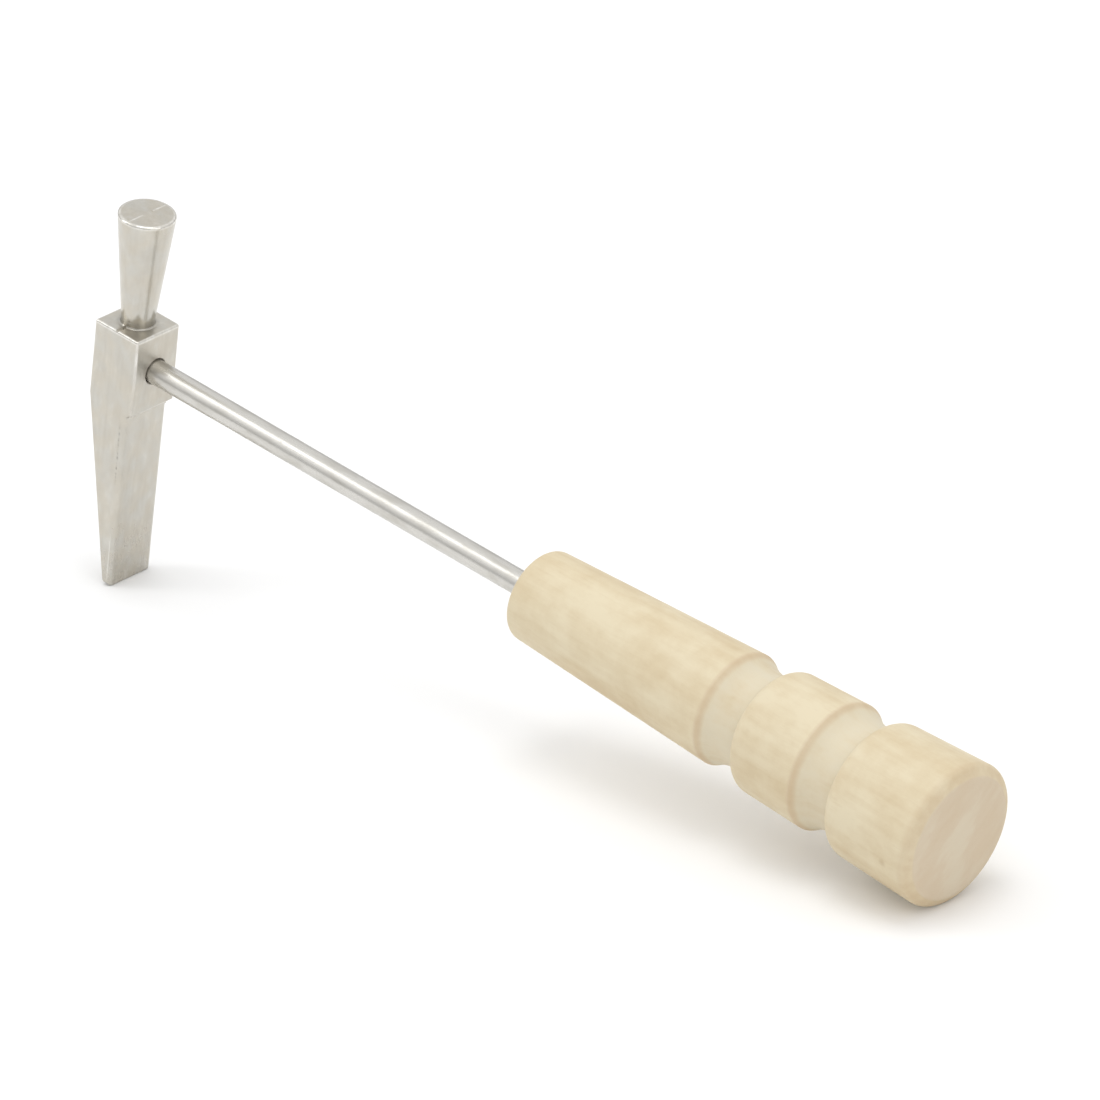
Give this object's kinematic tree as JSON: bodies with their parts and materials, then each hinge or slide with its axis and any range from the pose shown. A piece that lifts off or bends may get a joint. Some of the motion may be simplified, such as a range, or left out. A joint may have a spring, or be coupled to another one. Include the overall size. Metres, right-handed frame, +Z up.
{
  "type": "small cross-peen hammer",
  "caption": "Small hammer with a round striking crown, a thin cross blade, a bare steel rod shaft and a turned wooden handle.",
  "frame": {"origin": "on the floor, in the middle of the hammer's length and width, as it stands by itself on the blade's tip and the butt's lower rim", "axes": "+X from the head towards the butt along the floor, +Y sideways, +Z up; the shaft dips 9 degrees below +X towards the butt"},
  "size_m": [0.2235, 0.0298, 0.0817],
  "materials": {
    "hammer_head": "bright dull plating over a cast surface, soft reflections",
    "shaft": "polished round rod, brighter than the head",
    "handle": "pale close-grained wood, turned and sanded, no varnish"
  },
  "bodies": {
    "root": {"hammer_head": "hammer_head", "shaft": "shaft", "handle": "handle"}
  },
  "joints": []
}
